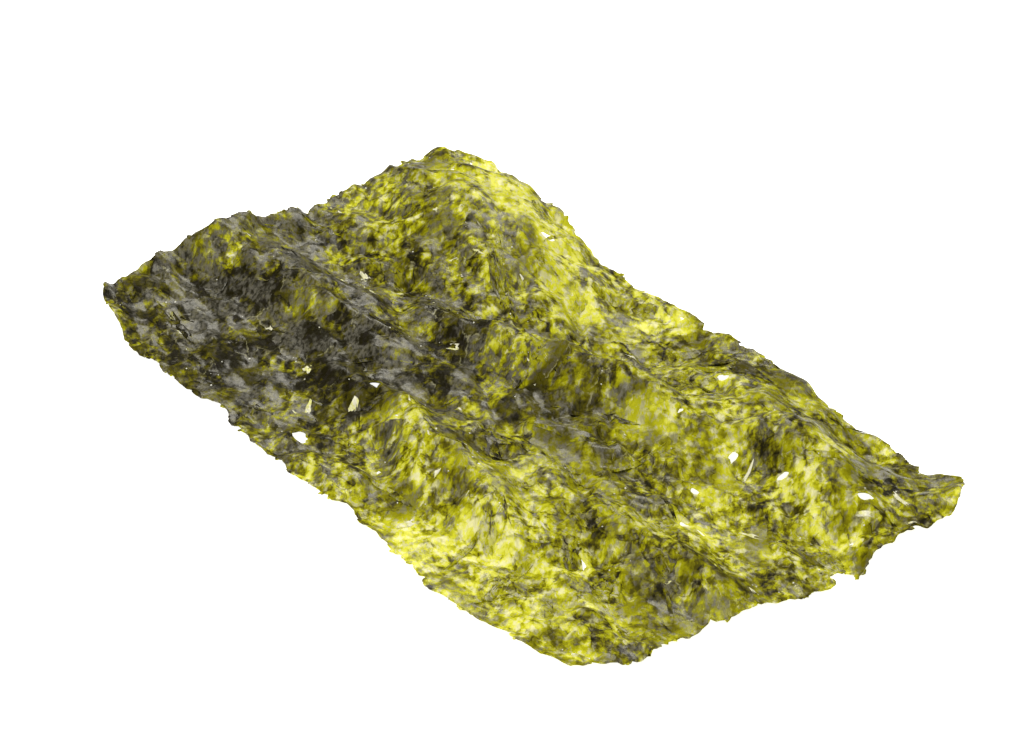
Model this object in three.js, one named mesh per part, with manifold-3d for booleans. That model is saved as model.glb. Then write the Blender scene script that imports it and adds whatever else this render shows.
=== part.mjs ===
// A roasted seaweed snack: one cut sheet of seasoned laver, lying on a table.
// The paper-thin film is a rectangle cut from a larger dried sheet. Roasting has lifted it off the
// table in long ridges, small blisters and curled corners, and it has a few see-through holes
// and torn nicks. Millimetres, +X along the length, +Z up, origin under the middle of the sheet.
import * as THREE from "three";
import { mergeVertices } from "three/addons/utils/BufferGeometryUtils.js";
import Module from "manifold-3d";

// Driving dimensions of the cut sheet.
const LENGTH = 90;
const WIDTH = 52;
const THICKNESS = 0.4;
const GRID_STEP = 1.65;

// Bowing of the whole sheet: across its width, and one slow wave along its length.
const CROWN = 2.4;
const LONG_WAVE = { height: 0.9, length: 64, phase: 0.4 };

// Each corner curls up, from `reach` away to `lift` at its tip, and is worn back by `worn`.
const CORNERS = [
  { x: -1, y: -1, reach: 26, lift: 1.2, worn: 2.2 },
  { x: -1, y: 1, reach: 18, lift: 3.2, worn: 1.7 },
  { x: 1, y: 1, reach: 26, lift: 5.6, worn: 1.8 },
  { x: 1, y: -1, reach: 20, lift: 3.4, worn: 2.1 },
];

// The long edges wave: they lift off the table between the places where they touch it.
const EDGE_WAVE = { height: 2.2, length: 37, nearPhase: 2.1, farPhase: 0.2, power: 4 };

// How far the low places sink onto the table, and how softly they meet it.
const SETTLE = { depth: 1.9, softness: 0.6 };

// Broad hills (height above 0) and hollows (below 0): centre, reach along and across, and turn in degrees.
const SWELLS = [
  { x: -28, y: 16, along: 17, across: 9, turn: -8, height: 7.3 },
  { x: -24, y: -6, along: 20, across: 3.2, turn: 4, height: 3.3 },
  { x: 2, y: 5.5, along: 25, across: 3.4, turn: 17, height: 4.3 },
  { x: 7, y: -13, along: 25, across: 2.8, turn: -6, height: 3.3 },
  { x: 27, y: 16, along: 16, across: 4.6, turn: -14, height: 4.2 },
  { x: 32, y: -6, along: 14, across: 3, turn: 12, height: 3.2 },
  { x: -45.5, y: -5, along: 4.5, across: 9, turn: 0, height: 2 },
  { x: -3, y: 17, along: 9, across: 6, turn: 20, height: -2.4 },
  { x: -33, y: -17, along: 8, across: 5, turn: -20, height: -1.8 },
  { x: 24, y: -20, along: 10, across: 5, turn: 15, height: -2 },
  { x: 41, y: 5, along: 7, across: 8, turn: 0, height: -1.6 },
];

// Blisters from roasting: rounded bumps with sharp valleys between them, drawn out along the sheet.
const BLISTERS = [
  { height: 0.85, along: 19, across: 9.5, slant: 0.35, phase: 0.7 },
  { height: 0.5, along: 11.5, across: 6.4, slant: -0.5, phase: 2.9 },
];

// The cut edge is nibbled: bites of up to `depth`, `length` apart, never outside the cut rectangle.
const NIBBLES = [
  { depth: 0.75, length: 27 },
  { depth: 0.5, length: 11.3 },
  { depth: 0.4, length: 6.1 },
];

// How sharply the pull of the ragged border fades into the grid.
const BORDER_POWER = 8;

// Holes through the film, and nicks where the same cutter meets an edge.
const TEARS = [
  { x: -6, y: -21.3, along: 0.7, across: 0.45, turn: 20 },
  { x: -37.5, y: 17.5, along: 0.75, across: 0.5, turn: 30 },
  { x: -7.2, y: -11.5, along: 0.5, across: 0.35, turn: -20 },
  { x: -3.7, y: 7, along: 0.55, across: 0.35, turn: 15 },
  { x: -20.6, y: 19.3, along: 0.5, across: 0.35, turn: 50 },
  { x: 24, y: 9.5, along: 0.75, across: 0.4, turn: 130 },
  { x: 29, y: -12.5, along: 0.7, across: 0.4, turn: 5 },
  { x: 11, y: 18, along: 0.6, across: 0.35, turn: -20 },
  { x: 38.5, y: 14, along: 0.55, across: 0.4, turn: 35 },
  { x: -44.6, y: 21.6, along: 2.6, across: 1.2, turn: 12 },
  { x: 12.5, y: 26.2, along: 1.1, across: 2, turn: -15 },
  { x: 34.5, y: -26.3, along: 1.3, across: 2.2, turn: 25 },
  { x: 45.2, y: 6.5, along: 2.4, across: 1, turn: -18 },
];
const TEAR_WOBBLE = 0.22;
const TEAR_POINTS = 14;

const FILM_COLOUR = 0x5c5a14;
const TURN = 2 * Math.PI;

function cornerCurl(x, y) {
  let z = 0;
  for (const corner of CORNERS) {
    const away = Math.hypot((corner.x * LENGTH) / 2 - x, (corner.y * WIDTH) / 2 - y);
    z += corner.lift * Math.max(0, 1 - away / corner.reach) ** 2;
  }
  return z;
}

function edgeWave(x, y) {
  const side = y / (WIDTH / 2);
  const phase = side < 0 ? EDGE_WAVE.nearPhase : EDGE_WAVE.farPhase;
  const lift = 0.5 + 0.5 * Math.sin((TURN * x) / EDGE_WAVE.length + phase);
  return EDGE_WAVE.height * lift * Math.abs(side) ** EDGE_WAVE.power;
}

function swell(x, y, hill) {
  const turn = THREE.MathUtils.degToRad(hill.turn);
  const dx = x - hill.x;
  const dy = y - hill.y;
  const along = (dx * Math.cos(turn) + dy * Math.sin(turn)) / hill.along;
  const across = (dy * Math.cos(turn) - dx * Math.sin(turn)) / hill.across;
  return hill.height * Math.exp(-(along * along) - across * across);
}

function blister(x, y, b) {
  const a = Math.sin((TURN * (x + b.slant * y)) / b.along + b.phase);
  const c = Math.sin((TURN * (y - b.slant * x)) / b.across + 2 * b.phase + a);
  return b.height * Math.abs(0.5 * (a + c));
}

// Height of the middle of the film. Where it would dip below the table it lies on it instead.
function filmHeight(x, y) {
  const side = y / (WIDTH / 2);
  let z = CROWN * (1 - side * side) - SETTLE.depth;
  z += LONG_WAVE.height * Math.sin((TURN * x) / LONG_WAVE.length + LONG_WAVE.phase);
  z += cornerCurl(x, y) + edgeWave(x, y);
  for (const hill of SWELLS) z += swell(x, y, hill);
  for (const b of BLISTERS) z += blister(x, y, b);
  return 0.5 * (z + Math.hypot(z, SETTLE.softness));
}

// How far the edge is nibbled inwards at `q` along a side.
function nibble(q, seed) {
  let total = 0;
  for (const { depth, length } of NIBBLES) {
    total += depth * (0.5 + 0.5 * Math.sin((TURN * q) / length + seed * length));
  }
  return total;
}

// How far the border is worn back near the corner at the signs of u and v; 0 away from it.
function wornBack(u, v) {
  const corner = CORNERS.find((c) => c.x === Math.sign(u) && c.y === Math.sign(v));
  return corner ? corner.worn * Math.abs(4 * u * v) ** BORDER_POWER : 0;
}

// A grid point moved so that the grid's border follows the nibbled edge and the worn corners.
function placeOnSheet(u, v) {
  const x = u * LENGTH;
  const y = v * WIDTH;
  const endPull = Math.abs(2 * u) ** BORDER_POWER * nibble(y, u < 0 ? 1.7 : 0.6) + wornBack(u, v);
  const sidePull = Math.abs(2 * v) ** BORDER_POWER * nibble(x, v < 0 ? 0.9 : 2.3) + wornBack(u, v);
  return [x - Math.sign(u) * endPull, y - Math.sign(v) * sidePull];
}

// The film as a closed shell: a top grid, a bottom grid and a wall around the border.
function filmGeometry() {
  const columns = Math.round(LENGTH / GRID_STEP);
  const rows = Math.round(WIDTH / GRID_STEP);
  const sheet = (columns + 1) * (rows + 1);
  const positions = new Float32Array(2 * sheet * 3);
  const at = (i, j) => j * (columns + 1) + i;
  for (let j = 0; j <= rows; j++) {
    for (let i = 0; i <= columns; i++) {
      const [x, y] = placeOnSheet(i / columns - 0.5, j / rows - 0.5);
      const z = filmHeight(x, y);
      positions.set([x, y, z + THICKNESS / 2], 3 * at(i, j));
      positions.set([x, y, z - THICKNESS / 2], 3 * (sheet + at(i, j)));
    }
  }
  const faces = [];
  const quad = (a, b, c, d) => faces.push(a, b, c, a, c, d);
  for (let j = 0; j < rows; j++) {
    for (let i = 0; i < columns; i++) {
      const [a, b, c, d] = [at(i, j), at(i + 1, j), at(i + 1, j + 1), at(i, j + 1)];
      quad(a, b, c, d);
      quad(sheet + d, sheet + c, sheet + b, sheet + a);
    }
  }
  const wall = (a, b) => quad(sheet + a, sheet + b, b, a);
  for (let i = 0; i < columns; i++) {
    wall(at(i, 0), at(i + 1, 0));
    wall(at(i + 1, rows), at(i, rows));
  }
  for (let j = 0; j < rows; j++) {
    wall(at(columns, j), at(columns, j + 1));
    wall(at(0, j + 1), at(0, j));
  }
  const geometry = new THREE.BufferGeometry();
  geometry.setAttribute("position", new THREE.BufferAttribute(positions, 3));
  geometry.setIndex(faces);
  return geometry;
}

// An upright cutter with a wobbly oval outline.
function tearCutter(tear, seed) {
  const outline = [];
  for (let k = 0; k < TEAR_POINTS; k++) {
    const angle = (TURN * k) / TEAR_POINTS;
    const wobble = 1 + TEAR_WOBBLE * Math.sin(3 * angle + seed) * Math.cos(2 * angle + 2 * seed);
    const [along, across] = [tear.along * wobble, tear.across * wobble];
    outline.push(new THREE.Vector2(along * Math.cos(angle), across * Math.sin(angle)));
  }
  const depth = LENGTH / 2;
  return new THREE.ExtrudeGeometry(new THREE.Shape(outline), { depth, bevelEnabled: false })
    .rotateZ(THREE.MathUtils.degToRad(tear.turn))
    .translate(tear.x, tear.y, -depth / 2);
}

const wasm = await Module();
wasm.setup();

function solidOf(geometry) {
  const bare = geometry.clone();
  bare.deleteAttribute("normal");
  bare.deleteAttribute("uv");
  const merged = mergeVertices(bare);
  const vertProperties = merged.getAttribute("position").array;
  const triVerts = new Uint32Array(merged.index.array);
  return new wasm.Manifold(new wasm.Mesh({ numProp: 3, vertProperties, triVerts }));
}

function geometryOf(solid) {
  const { vertProperties, triVerts } = solid.getMesh();
  const geometry = new THREE.BufferGeometry();
  geometry.setAttribute("position", new THREE.BufferAttribute(vertProperties, 3));
  geometry.setIndex(new THREE.BufferAttribute(triVerts, 1));
  geometry.computeVertexNormals();
  return geometry;
}

// The film with its tears, moved so that its box is centred over the origin and stands at z = 0.
function tornSheet() {
  let solid = solidOf(filmGeometry());
  TEARS.forEach((tear, k) => {
    solid = solid.subtract(solidOf(tearCutter(tear, k)));
  });
  const geometry = geometryOf(solid);
  geometry.computeBoundingBox();
  const { min, max } = geometry.boundingBox;
  return geometry.translate(-(min.x + max.x) / 2, -(min.y + max.y) / 2, -min.z);
}

const laver = new THREE.MeshStandardMaterial({ color: FILM_COLOUR, roughness: 0.4, metalness: 0 });
const sheet = new THREE.Mesh(tornSheet(), laver);
sheet.name = "laver_sheet";

const snack = new THREE.Group();
snack.name = "seaweed_snack";
snack.add(sheet);

export default snack;
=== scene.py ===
# %% [markdown]
# # One sheet of roasted laver, dressed for its close-up
# A seaweed snack is a cut of dried laver: blades of seaweed, one cell thick, that were chopped, poured on a
# mat like paper pulp, dried, oiled, salted and roasted. So the film is no green card. It is a felt of torn
# blades, yellow-green where one or two lie over each other and nearly black where ten do.
# The solid model gives the sheet's size, its long ridges and its curled corners. This lesson keeps those
# and adds what is finer: the blades, the ragged edge, the pinholes, the loose flakes and the salt.
# Shapes are worked out in millimetres, and a mesh is turned to metres when it is made.

# %% Load the frame
import math

import bpy
import numpy as np
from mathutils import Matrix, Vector


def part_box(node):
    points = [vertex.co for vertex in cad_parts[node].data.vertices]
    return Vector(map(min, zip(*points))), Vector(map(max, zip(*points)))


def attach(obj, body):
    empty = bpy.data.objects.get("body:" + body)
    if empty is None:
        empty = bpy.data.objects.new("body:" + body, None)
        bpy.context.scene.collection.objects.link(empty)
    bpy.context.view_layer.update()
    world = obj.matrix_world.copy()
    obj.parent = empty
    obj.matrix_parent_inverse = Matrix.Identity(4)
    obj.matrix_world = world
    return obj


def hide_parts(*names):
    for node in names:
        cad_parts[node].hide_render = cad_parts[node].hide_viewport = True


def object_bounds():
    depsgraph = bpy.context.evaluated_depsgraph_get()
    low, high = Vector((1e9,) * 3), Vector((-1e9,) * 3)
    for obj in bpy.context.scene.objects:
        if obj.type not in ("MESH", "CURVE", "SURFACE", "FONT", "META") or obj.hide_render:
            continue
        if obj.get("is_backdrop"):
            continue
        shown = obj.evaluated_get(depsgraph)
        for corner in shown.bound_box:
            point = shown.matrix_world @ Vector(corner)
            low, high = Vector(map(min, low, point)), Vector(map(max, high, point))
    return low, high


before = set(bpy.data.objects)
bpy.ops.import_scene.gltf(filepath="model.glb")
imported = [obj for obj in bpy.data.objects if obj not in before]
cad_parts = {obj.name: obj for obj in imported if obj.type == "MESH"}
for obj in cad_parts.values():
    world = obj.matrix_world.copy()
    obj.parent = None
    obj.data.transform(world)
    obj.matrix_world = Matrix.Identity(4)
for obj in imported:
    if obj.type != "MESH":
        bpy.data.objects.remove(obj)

CAD_BOX = [list(corner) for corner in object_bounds()]
MM = 0.001
NODE = "laver_sheet"
BODY = "root"
TURN = 2 * math.pi
NODE_LOW, NODE_HIGH = (np.array(corner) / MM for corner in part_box(NODE))
print("the solid sheet, in mm:", np.round(NODE_HIGH - NODE_LOW, 2))

# %% [markdown]
# ## The form that the solid already has
# The film has to lie exactly where the solid lies, so its large form is the same sum of the same named
# values: a crown, a slow wave, curled corners, waving long edges, broad swells and roasting blisters.
# Where that sum dips below the table, the sheet lies on the table instead.
# Reading the solid's points back would also place the film, but a formula can be asked for any point,
# and the film needs about twenty times as many.

# %% The sheet's driving sizes, in millimetres
LENGTH, WIDTH = 90.0, 52.0
CROWN = 2.4
LONG_WAVE = dict(height=0.9, length=64.0, phase=0.4)
SETTLE = dict(depth=1.9, softness=0.6)
CORNERS = [
    dict(x=-1, y=-1, reach=26, lift=1.2, worn=2.2),
    dict(x=-1, y=1, reach=18, lift=3.2, worn=1.7),
    dict(x=1, y=1, reach=26, lift=5.6, worn=1.8),
    dict(x=1, y=-1, reach=20, lift=3.4, worn=2.1),
]
EDGE_WAVE = dict(height=2.2, length=37.0, near_phase=2.1, far_phase=0.2, power=4)
SWELLS = [
    dict(x=-28, y=16, along=17, across=9, turn=-8, height=7.3),
    dict(x=-24, y=-6, along=20, across=3.2, turn=4, height=3.3),
    dict(x=2, y=5.5, along=25, across=3.4, turn=17, height=4.3),
    dict(x=7, y=-13, along=25, across=2.8, turn=-6, height=3.3),
    dict(x=27, y=16, along=16, across=4.6, turn=-14, height=4.2),
    dict(x=32, y=-6, along=14, across=3, turn=12, height=3.2),
    dict(x=-45.5, y=-5, along=4.5, across=9, turn=0, height=2),
    dict(x=-3, y=17, along=9, across=6, turn=20, height=-2.4),
    dict(x=-33, y=-17, along=8, across=5, turn=-20, height=-1.8),
    dict(x=24, y=-20, along=10, across=5, turn=15, height=-2),
    dict(x=41, y=5, along=7, across=8, turn=0, height=-1.6),
]
BLISTERS = [
    dict(height=0.85, along=19.0, across=9.5, slant=0.35, phase=0.7),
    dict(height=0.5, along=11.5, across=6.4, slant=-0.5, phase=2.9),
]


# %% The large form as one function of x and y
def turned(x, y, place):
    """Distances along and across a turned direction, from a place's middle."""
    turn = math.radians(place["turn"])
    dx, dy = x - place["x"], y - place["y"]
    return dx * math.cos(turn) + dy * math.sin(turn), dy * math.cos(turn) - dx * math.sin(turn)


def bell(x, y, place):
    """One at the place's middle, falling off as exp(-(along share)^2 - (across share)^2)."""
    along, across = turned(x, y, place)
    return np.exp(-((along / place["along"]) ** 2) - (across / place["across"]) ** 2)


def large_form(x, y):
    """Crown and slow wave, plus curls that grow with the square of nearness to a corner, plus edge waves
    that grow with the fourth power towards the long edges, plus bell-shaped swells, plus the size of a
    sum of two sines for the blisters. It isn't settled on the table yet."""
    side = y / (WIDTH / 2)
    z = CROWN * (1 - side**2) - SETTLE["depth"]
    z = z + LONG_WAVE["height"] * np.sin(TURN * x / LONG_WAVE["length"] + LONG_WAVE["phase"])
    for corner in CORNERS:
        away = np.hypot(corner["x"] * LENGTH / 2 - x, corner["y"] * WIDTH / 2 - y)
        z = z + corner["lift"] * np.maximum(0, 1 - away / corner["reach"]) ** 2
    phase = np.where(side < 0, EDGE_WAVE["near_phase"], EDGE_WAVE["far_phase"])
    wave = 0.5 + 0.5 * np.sin(TURN * x / EDGE_WAVE["length"] + phase)
    z = z + EDGE_WAVE["height"] * wave * np.abs(side) ** EDGE_WAVE["power"]
    for swell in SWELLS:
        z = z + swell["height"] * bell(x, y, swell)
    for blister in BLISTERS:
        along = np.sin(TURN * (x + blister["slant"] * y) / blister["along"] + blister["phase"])
        across = TURN * (y - blister["slant"] * x) / blister["across"] + 2 * blister["phase"]
        z = z + blister["height"] * np.abs(0.5 * (along + np.sin(across + along)))
    return z


def settled(z):
    """A soft floor: high values stay as they are, and values below zero flatten out just above it."""
    return 0.5 * (z + np.hypot(z, SETTLE["softness"]))


def coarse_grid():
    """Places 2 mm apart over the whole sheet, to measure a formula on."""
    return np.meshgrid(np.arange(-LENGTH / 2, LENGTH / 2, 2), np.arange(-WIDTH / 2, WIDTH / 2, 2))


print("the large form's top, in mm:", round(float(settled(large_form(*coarse_grid())).max()), 2))

# %% [markdown]
# ## Randomness that is the same every time
# Torn blades need chance, but a scene has to come out alike on each run. A lattice of numbers hashed from
# their own place does that without a random generator: the same spot always gets the same number.
# Smooth noise blends those numbers. A blade field gives each lattice square one point and hands every spot
# to its nearest point, which leaves patches with straight torn edges, like chopped seaweed.


# %% Hashed lattices and smooth noise
def hashed(i, j, seed):
    """The fraction of a large multiple of a sine: an even spread from 0 to 1 for whole numbers i and j."""
    mixed = np.sin(i * 127.1 + j * 311.7 + seed * 74.7) * 43758.5453
    return mixed - np.floor(mixed)


def noise(x, y, seed):
    """Lattice numbers from -1 to 1, blended by the smooth step 3t^2 - 2t^3 in each direction."""
    i, j = np.floor(x), np.floor(y)
    u, v = x - i, y - j
    u, v = u * u * (3 - 2 * u), v * v * (3 - 2 * v)
    low = hashed(i, j, seed) * (1 - u) + hashed(i + 1, j, seed) * u
    high = hashed(i, j + 1, seed) * (1 - u) + hashed(i + 1, j + 1, seed) * u
    return 2 * (low * (1 - v) + high * v) - 1


def rough(x, y, size, seed, octaves=4, keep=0.5):
    """Noise of one size in mm, plus `keep` of it at half the size, and so on."""
    total, share = 0, 1.0
    for octave in range(octaves):
        total = total + share * noise(x / size * 2**octave, y / size * 2**octave, seed + octave)
        share *= keep
    return total


print("rough noise reaches", round(float(np.abs(rough(*coarse_grid(), 5, 1)).max()), 2))


# %% Torn blades
def blades(x, y, layer):
    """Nearest of the jittered lattice points, one to a square. Returns the blade's random number, the
    offset from its point along and across, and the distance to its edge, which is half of second nearest
    less nearest."""
    size, seed = layer["size"], layer["seed"]
    along, across = turned(x, y, dict(x=0, y=0, turn=layer["turn"]))
    p, q = along / (size * layer["stretch"]), across / size
    best = np.full(np.shape(x), 1e9)
    second = best.copy()
    which, off_p, off_q = best * 0, best * 0, best * 0
    for di in (-1, 0, 1):
        for dj in (-1, 0, 1):
            i, j = np.floor(p) + di, np.floor(q) + dj
            dp = p - i - hashed(i, j, seed)
            dq = q - j - hashed(i, j, seed + 0.37)
            away = np.hypot(dp, dq)
            nearer = away < best
            second = np.where(nearer, best, np.minimum(second, away))
            which = np.where(nearer, hashed(i, j, seed + 0.71), which)
            off_p, off_q = np.where(nearer, dp, off_p), np.where(nearer, dq, off_q)
            best = np.where(nearer, away, best)
    return which, off_p * size, off_q * size, (second - best) * size / 2


# %% [markdown]
# ## The felt of blades
# Four sizes of torn blade lie over each other. Each layer does two things at once: it makes the film
# thicker and so darker where a blade is there, and it tilts the film a little, because a blade never dries
# flat. Colour and relief from the same blades is what makes them read as blades and not as paint.

# %% Blade layers: size, stretch, direction, thickness share and tilt
BLADE_LAYERS = [
    dict(size=8.5, stretch=1.5, turn=12, seed=3, share=0.12, tilt=0.05),
    dict(size=5.0, stretch=1.4, turn=-14, seed=11, share=0.16, tilt=0.06),
    dict(size=3.0, stretch=1.6, turn=-48, seed=23, share=0.23, tilt=0.08),
    dict(size=1.7, stretch=1.6, turn=-25, seed=37, share=0.26, tilt=0.09),
]
EDGE_FALL = 0.12
BEND = dict(size=4.0, reach=1.1, x_seed=51, y_seed=61)


def bent(x, y):
    """The place moved about by noise, so that straight blade edges come out curved."""
    return (
        x + BEND["reach"] * rough(x, y, BEND["size"], BEND["x_seed"], 3),
        y + BEND["reach"] * rough(x, y, BEND["size"], BEND["y_seed"], 3),
    )


def blade_felt(x, y):
    """Summed blade layers at each place: (share of full thickness, tilt relief in mm). A blade leans its
    own way, and within EDGE_FALL of its size from its edge the lean falls to nothing."""
    bx, by = bent(x, y)
    thickness, relief = 0, 0
    for layer in BLADE_LAYERS:
        which, along, across, edge = blades(bx, by, layer)
        thickness = thickness + layer["share"] * which
        lean = TURN * which * 7
        ramp = layer["tilt"] * (along * np.cos(lean) + across * np.sin(lean))
        relief = relief + ramp * np.minimum(1, edge / (EDGE_FALL * layer["size"]))
    return thickness, relief


print("mean thickness share of the felt:", round(float(blade_felt(*coarse_grid())[0].mean()), 2))

# %% [markdown]
# ## Creases and crumple
# Drying and roasting shrink the film unevenly, and it folds into narrow creases that run mostly along the
# sheet, on a fine crumple like that of oiled paper. A cloth simulation would make such folds, but not where
# they are wanted. Each crease is therefore a sharp ridge across and a flat-topped bell along, and crumple
# is one minus the size of smooth noise, which is sharp on top and round below.

# %% Creases: narrow folds that run mostly along the sheet
CREASES = dict(
    count=110, seed=7, length=(4, 19), width=(0.25, 0.65), height=(0.15, 0.55), spread=28, sway=0.12,
)


def random_places(count, seed):
    """A seeded generator and `count` places spread over the sheet."""
    rng = np.random.default_rng(seed)
    return rng, rng.uniform(-LENGTH / 2, LENGTH / 2, count), rng.uniform(-WIDTH / 2, WIDTH / 2, count)


def creases(x, y):
    """Sum over folds of height times exp(-distance across / width) times a flat-topped bell along it. Each
    fold sways to its sides as a slow sine."""
    rng, cx, cy = random_places(CREASES["count"], CREASES["seed"])
    turn = rng.normal(0, CREASES["spread"], cx.size)
    length, width, height = (rng.uniform(*CREASES[key], cx.size) for key in ("length", "width", "height"))
    total = 0
    for n in range(cx.size):
        along, across = turned(x, y, dict(x=cx[n], y=cy[n], turn=turn[n]))
        across = across + CREASES["sway"] * length[n] * np.sin(along / length[n] * 3 + n)
        total = total + height[n] * np.exp(-np.abs(across) / width[n] - (along / length[n] * 2) ** 4)
    return total


print("highest crease, in mm:", round(float(creases(*coarse_grid()).max()), 2))

# %% The whole film: height and thickness share
CRUMPLE = dict(size=4.5, stretch=2.2, height=0.45, seed=81)
LEAST_RELIEF = -0.15
HEADROOM = 0.2
TOP = NODE_HIGH[2] - HEADROOM
# The first two bells darken the left end as painted shade, drawn as extra thickness. The others make the
# pulp thicker or thinner in patches.
DENSE_AND_SHADED_ZONES = [
    dict(x=-30, y=-10, along=24, across=18, turn=6, height=0.38),
    dict(x=-12, y=-8, along=14, across=6.5, turn=-6, height=0.34),
    dict(x=12, y=7, along=14, across=4, turn=16, height=0.08),
    dict(x=20, y=-3, along=15, across=7, turn=-8, height=0.12),
    dict(x=8, y=22, along=16, across=5, turn=0, height=0.12),
    dict(x=28, y=-2, along=24, across=22, turn=10, height=-0.09),
    dict(x=-22, y=18, along=19, across=8, turn=-6, height=-0.33),
    dict(x=18, y=-19, along=20, across=6, turn=0, height=-0.12),
]
ZONE_MOTTLE = dict(size=7, seed=93, share=0.7)
DRIFT = dict(size=13, seed=91, share=0.08)
LEAST_THICKNESS = 0.16


def room(z):
    """The share of the relief that fits: all of it on the table, and none just below the solid's highest
    point."""
    return 1 - np.clip(z / TOP, 0, 1) ** 2


def film(x, y):
    """Height in mm of the film's middle, and its thickness share from 0 to about 1. The large form settles
    on the table first. The relief then only adds height, so the sheet touches the table in places and
    nowhere lies as flat as glass. Near its highest point the relief fades. Bells of mottled pulp make the
    thickness more or less, two of them as painted shade at the left end, and a soft floor keeps it above
    zero."""
    thickness, relief = blade_felt(x, y)
    crumple = 1 - np.abs(rough(x / CRUMPLE["stretch"], y, CRUMPLE["size"], CRUMPLE["seed"], 4))
    relief = np.maximum(0, relief - LEAST_RELIEF) + CRUMPLE["height"] * crumple + creases(x, y)
    z = settled(large_form(x, y))
    z = z + relief * room(z)
    mottle = 1 + ZONE_MOTTLE["share"] * rough(x, y, ZONE_MOTTLE["size"], ZONE_MOTTLE["seed"], 3)
    for zone in DENSE_AND_SHADED_ZONES:
        thickness = thickness + zone["height"] * bell(x, y, zone) * mottle
    thickness = thickness + DRIFT["share"] * rough(x, y, DRIFT["size"], DRIFT["seed"], 3)
    return z, 0.5 * (thickness + np.hypot(thickness, LEAST_THICKNESS))


print("the film's top, in mm:", round(float(film(*coarse_grid())[0].max()), 2))

# %% [markdown]
# ## The outline and the holes
# The knife left a straight edge, and the dry film broke back from it in nibbles, with single blades
# sticking out as a fringe. One number at each place says how far inside the film it is: above zero there is
# film, below there is none. Cutting a grid of triangles along the zero line gives fringe, nicks, holes and
# pinholes in one go, with real edges. A transparent texture would be quicker, but its edges have no
# thickness.

# %% The worn border
NIBBLES = [(0.75, 27.0), (0.5, 11.3), (0.4, 6.1)]
NIBBLE_SEEDS = dict(left=1.7, right=0.6, near=0.9, far=2.3)
BORDER_POWER = 8
CORNER_ROUND = 5.0


def nibble(q, seed):
    """How far an edge is worn back: each wave has a depth and a length in mm, and gives half its depth
    times one plus a sine."""
    return sum(depth * (0.5 + 0.5 * np.sin(TURN * q / length + seed * length)) for depth, length in NIBBLES)


def inside_border(x, y):
    """Distance in mm to the worn border: the nearer of the end edge and the long edge. A corner is rounded
    by counting the two shortfalls below a radius as the sides of a right triangle, and it is worn by its
    own depth times a high power of nearness to it."""
    worn = 0
    for corner in CORNERS:
        here = (np.sign(x) == corner["x"]) & (np.sign(y) == corner["y"])
        worn = worn + here * corner["worn"] * np.abs(4 * x * y / (LENGTH * WIDTH)) ** BORDER_POWER
    left, right = (nibble(y, NIBBLE_SEEDS[edge]) for edge in ("left", "right"))
    near, far = (nibble(x, NIBBLE_SEEDS[edge]) for edge in ("near", "far"))
    end = LENGTH / 2 - np.where(x < 0, left, right) - worn - np.abs(x)
    side = WIDTH / 2 - np.where(y < 0, near, far) - worn - np.abs(y)
    return CORNER_ROUND - np.hypot(np.maximum(0, CORNER_ROUND - end), np.maximum(0, CORNER_ROUND - side))


print("share of places inside the border:", round(float((inside_border(*coarse_grid()) > 0).mean()), 2))

# %% Tears and pinholes
TEARS = [
    dict(x=-6, y=-21.3, along=0.7, across=0.45, turn=20),
    dict(x=-37.5, y=17.5, along=0.75, across=0.5, turn=30),
    dict(x=-7.2, y=-11.5, along=0.5, across=0.35, turn=-20),
    dict(x=-3.7, y=7, along=0.55, across=0.35, turn=15),
    dict(x=-20.6, y=19.3, along=0.5, across=0.35, turn=50),
    dict(x=24, y=9.5, along=0.75, across=0.4, turn=130),
    dict(x=29, y=-12.5, along=0.7, across=0.4, turn=5),
    dict(x=11, y=18, along=0.6, across=0.35, turn=-20),
    dict(x=38.5, y=14, along=0.55, across=0.4, turn=35),
    dict(x=-44.6, y=21.6, along=2.6, across=1.2, turn=12),
    dict(x=12.5, y=26.2, along=1.1, across=2, turn=-15),
    dict(x=34.5, y=-26.3, along=1.3, across=2.2, turn=25),
    dict(x=45.2, y=6.5, along=2.4, across=1, turn=-18),
]
PINHOLES = dict(
    count=75, seed=19, along=(0.15, 0.45), slim=(0.4, 0.8), spread=35, thinnest=0.42, clear=2.6,
)


def pinhole_places():
    """Random places, of which those stay where the film is thin, because a pinhole is a gap that no blade
    covers, and that lie clear of the tears."""
    rng, x, y = random_places(PINHOLES["count"], PINHOLES["seed"])
    along, slim = (rng.uniform(*PINHOLES[key], x.size) for key in ("along", "slim"))
    turn = rng.normal(0, PINHOLES["spread"], x.size)
    nearest = np.min([np.hypot(x - tear["x"], y - tear["y"]) for tear in TEARS], axis=0)
    keep = (film(x, y)[1] < PINHOLES["thinnest"]) & (nearest > PINHOLES["clear"])
    columns = zip(x[keep], y[keep], along[keep], (along * slim)[keep], turn[keep])
    return [dict(zip(("x", "y", "along", "across", "turn"), column)) for column in columns]


PINHOLE_PLACES = pinhole_places()
print("tears:", len(TEARS), " pinholes:", len(PINHOLE_PLACES))

# %% How far inside the film a place is
FRINGE_BLADES = dict(size=1.3, stretch=1.6, turn=40, seed=71)
FRINGE = dict(blade=0.4, ragged=0.2, seed=73)
TORN_RIM = dict(blade=0.7, ragged=0.5, seed=77, small_hole=1.4)
RAGGED_SIZE = 0.8
FAR_FROM_HOLES = 9.0


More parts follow.
